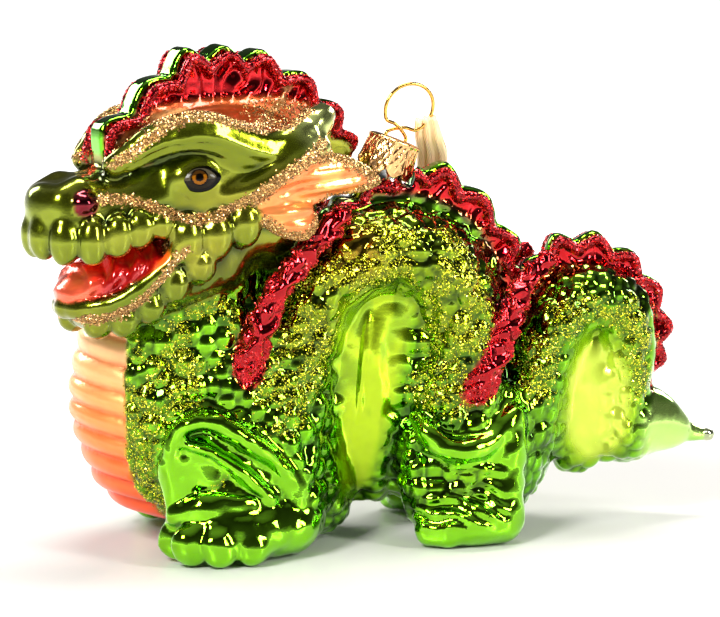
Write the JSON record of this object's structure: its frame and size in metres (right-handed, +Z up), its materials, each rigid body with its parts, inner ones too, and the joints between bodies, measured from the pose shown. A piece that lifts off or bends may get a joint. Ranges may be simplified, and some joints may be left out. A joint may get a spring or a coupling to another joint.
{
  "type": "blown glass dragon ornament",
  "caption": "Hollow glass dragon with arched back, turned head, glitter lines on its crests and brows, a pull-off crown cap, a sprung wire eye and a ribbon to hang it by.",
  "frame": {"origin": "middle of the base, on the surface that the paws stand on", "axes": "+Z up, -X towards the head, so the tail points along +X; the head turns towards -Y, the dragon's left"},
  "size_m": [0.1427, 0.0578, 0.1003],
  "materials": {
    "lacquered_glass": "silvered inside, coloured lacquer outside, mirror gloss",
    "cap_metal": "stamped, champagne gold",
    "hanger_metal": "bright gold plated spring wire",
    "ribbon_satin": "peach satin",
    "red_glitter": "fine sparkling grains",
    "gold_glitter": "coarse champagne gold grains",
    "lime_glitter": "fine sparkling grains"
  },
  "bodies": {
    "glass": {"glass_body": "lacquered_glass", "red_glitter_back_crest_left": "red_glitter", "red_glitter_back_crest_right": "red_glitter", "red_glitter_tail_crest_left": "red_glitter", "red_glitter_tail_crest_right": "red_glitter", "red_glitter_neck_frill_left": "red_glitter", "red_glitter_neck_frill_right": "red_glitter", "red_glitter_tail_frill_left": "red_glitter", "red_glitter_tail_frill_right": "red_glitter", "lime_glitter_neck_left": "lime_glitter", "lime_glitter_neck_right": "lime_glitter", "lime_glitter_back_left": "lime_glitter", "lime_glitter_back_right": "lime_glitter", "lime_glitter_tail_left": "lime_glitter", "lime_glitter_tail_right": "lime_glitter", "red_glitter_head_crest_left": "red_glitter", "red_glitter_head_crest_right": "red_glitter", "gold_glitter_brow_left": "gold_glitter", "gold_glitter_brow_right": "gold_glitter", "gold_glitter_cheek_left": "gold_glitter", "gold_glitter_cheek_right": "gold_glitter", "gold_glitter_jaw_left": "gold_glitter", "gold_glitter_jaw_right": "gold_glitter", "gold_glitter_ear_left": "gold_glitter", "gold_glitter_ear_right": "gold_glitter"},
    "cap": {"cap": "cap_metal"},
    "hanger": {"hanger_wire": "hanger_metal"},
    "ribbon": {"ribbon": "ribbon_satin"}
  },
  "joints": [
    {"name": "cap_pull", "type": "slide", "parent": "glass", "child": "cap", "axis": [0.3584, 0, 0.9336], "range_m": [0, 0.014]},
    {"name": "hanger_lift", "type": "slide", "parent": "cap", "child": "hanger", "axis": [0.3584, 0, 0.9336], "range_m": [0, 0.003]},
    {"name": "ribbon_swing", "type": "hinge", "parent": "hanger", "child": "ribbon", "pos_m": [0.01066, 0.00109, 0.08262], "axis": [0.6517, 0.0718, 0.7551], "range_deg": [0, 60]}
  ]
}
